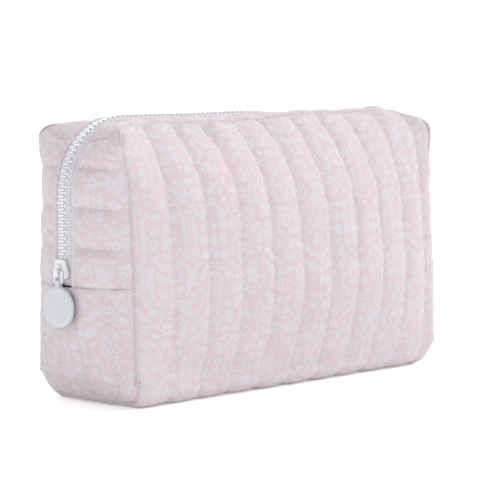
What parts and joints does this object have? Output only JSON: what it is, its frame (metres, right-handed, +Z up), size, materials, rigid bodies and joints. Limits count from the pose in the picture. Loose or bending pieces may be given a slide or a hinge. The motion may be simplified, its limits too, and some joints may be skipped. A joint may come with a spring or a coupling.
{
  "type": "makeup bag",
  "caption": "Boxy quilted cosmetic bag of pale pink printed cotton with a white zip over the top and a round puller.",
  "frame": {"origin": "middle of the flat base, where the bag stands", "axes": "+X along the bag's length away from the slider's end, -Y towards the front, +Z up"},
  "size_m": [0.2865, 0.0996, 0.1534],
  "materials": {
    "printed_cotton": "matte",
    "polyester_wadding": "matte",
    "pink_lining": "matte",
    "woven_tape": "matte",
    "moulded_teeth": "gloss",
    "painted_zinc": "gloss",
    "moulded_puller": "satin",
    "cotton_binding": "matte"
  },
  "bodies": {
    "bag_base": {"main_panel_cover": "printed_cotton", "main_panel_wadding": "polyester_wadding", "main_panel_lining": "pink_lining", "left_end_cover": "printed_cotton", "left_end_wadding": "polyester_wadding", "left_end_lining": "pink_lining", "right_end_cover": "printed_cotton", "right_end_wadding": "polyester_wadding", "right_end_lining": "pink_lining", "left_zip_tape_end": "woven_tape", "left_zip_teeth_end_front": "moulded_teeth", "left_zip_teeth_end_back": "moulded_teeth", "left_zip_stop": "moulded_teeth", "left_seam_binding": "cotton_binding", "right_zip_tape_end": "woven_tape", "right_zip_teeth_end_front": "moulded_teeth", "right_zip_teeth_end_back": "moulded_teeth", "right_zip_stop": "moulded_teeth", "right_seam_binding": "cotton_binding"},
    "front_side": {"front_wall_cover": "printed_cotton", "front_wall_wadding": "polyester_wadding", "front_wall_lining": "pink_lining", "front_gusset_cover": "printed_cotton", "front_gusset_wadding": "polyester_wadding", "front_gusset_lining": "pink_lining", "front_zip_tape": "woven_tape", "front_zip_teeth": "moulded_teeth", "front_seam_binding": "cotton_binding"},
    "back_side": {"back_wall_cover": "printed_cotton", "back_wall_wadding": "polyester_wadding", "back_wall_lining": "pink_lining", "back_gusset_cover": "printed_cotton", "back_gusset_wadding": "polyester_wadding", "back_gusset_lining": "pink_lining", "back_zip_tape": "woven_tape", "back_zip_teeth": "moulded_teeth", "back_seam_binding": "cotton_binding"},
    "slider": {"slider_body": "painted_zinc", "slider_crown": "painted_zinc"},
    "link": {"pull_link": "painted_zinc"},
    "puller": {"puller_disc": "moulded_puller"}
  },
  "joints": [
    {"name": "front_side_opens", "type": "hinge", "parent": "bag_base", "child": "front_side", "pos_m": [0, -0.0499, 0.064], "axis": [1, 0, 0], "range_deg": [0, 25]},
    {"name": "back_side_opens", "type": "hinge", "parent": "bag_base", "child": "back_side", "pos_m": [0, 0.0499, 0.064], "axis": [-1, 0, 0], "range_deg": [0, 25]},
    {"name": "slider_runs", "type": "slide", "parent": "bag_base", "child": "slider", "axis": [0, 0, 1], "range_m": [0, 0.027]},
    {"name": "link_flips", "type": "hinge", "parent": "slider", "child": "link", "pos_m": [-0.1432, 0, 0.0726], "axis": [0, 1, 0], "range_deg": [0, 150]},
    {"name": "puller_swings", "type": "hinge", "parent": "link", "child": "puller", "pos_m": [-0.1432, 0, 0.0662], "axis": [0, 1, 0], "range_deg": [0, 30]}
  ]
}
